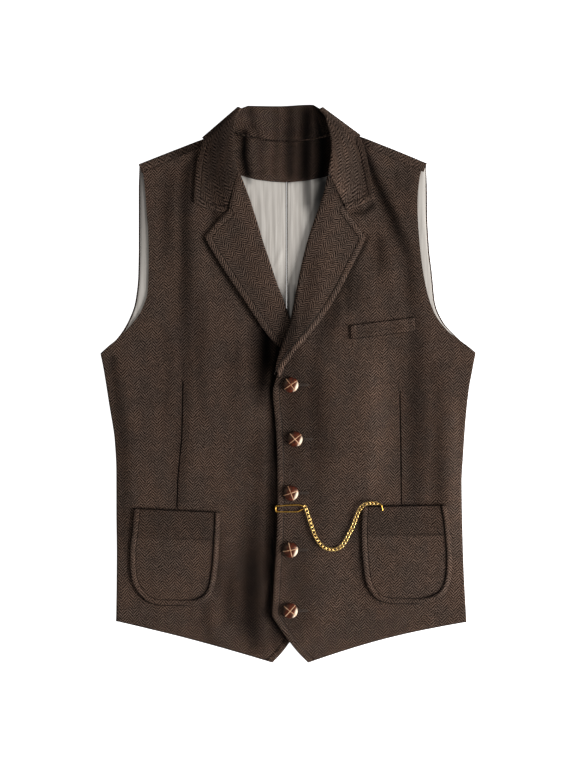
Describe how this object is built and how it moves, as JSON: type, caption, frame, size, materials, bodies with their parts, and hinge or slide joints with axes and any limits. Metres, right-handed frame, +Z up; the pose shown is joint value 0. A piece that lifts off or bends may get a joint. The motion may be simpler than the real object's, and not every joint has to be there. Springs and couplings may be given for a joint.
{
  "type": "suit waistcoat",
  "caption": "Single-breasted tweed waistcoat with notch lapels, patch pockets, chest welt and watch chain, buttoned and laid flat on its back.",
  "frame": {"origin": "centre of the garment's outline, on the surface it lies on", "axes": "+Y runs up the garment to the collar, +X to the wearer's left, +Z up from the surface"},
  "size_m": [0.4688, 0.6966, 0.0172],
  "materials": {
    "tweed": "dark brown herringbone wool tweed, matt",
    "satin": "cream satin lining, soft sheen",
    "leather": "dark red-brown woven leather, polished",
    "gold": "bright gold-coloured metal, polished"
  },
  "bodies": {
    "root": {"back_right": "tweed", "back_left": "tweed", "lining_right": "satin", "lining_left": "satin", "neck_facing": "tweed", "front_right": "tweed", "front_left": "tweed", "lapel_right": "tweed", "lapel_left": "tweed", "collar": "tweed", "pocket_right": "tweed", "pocket_left": "tweed", "welt": "tweed", "button_1": "leather", "button_2": "leather", "button_3": "leather", "button_4": "leather", "button_5": "leather", "watch_chain": "gold", "chain_clip": "gold", "chain_hook": "gold"}
  },
  "joints": []
}
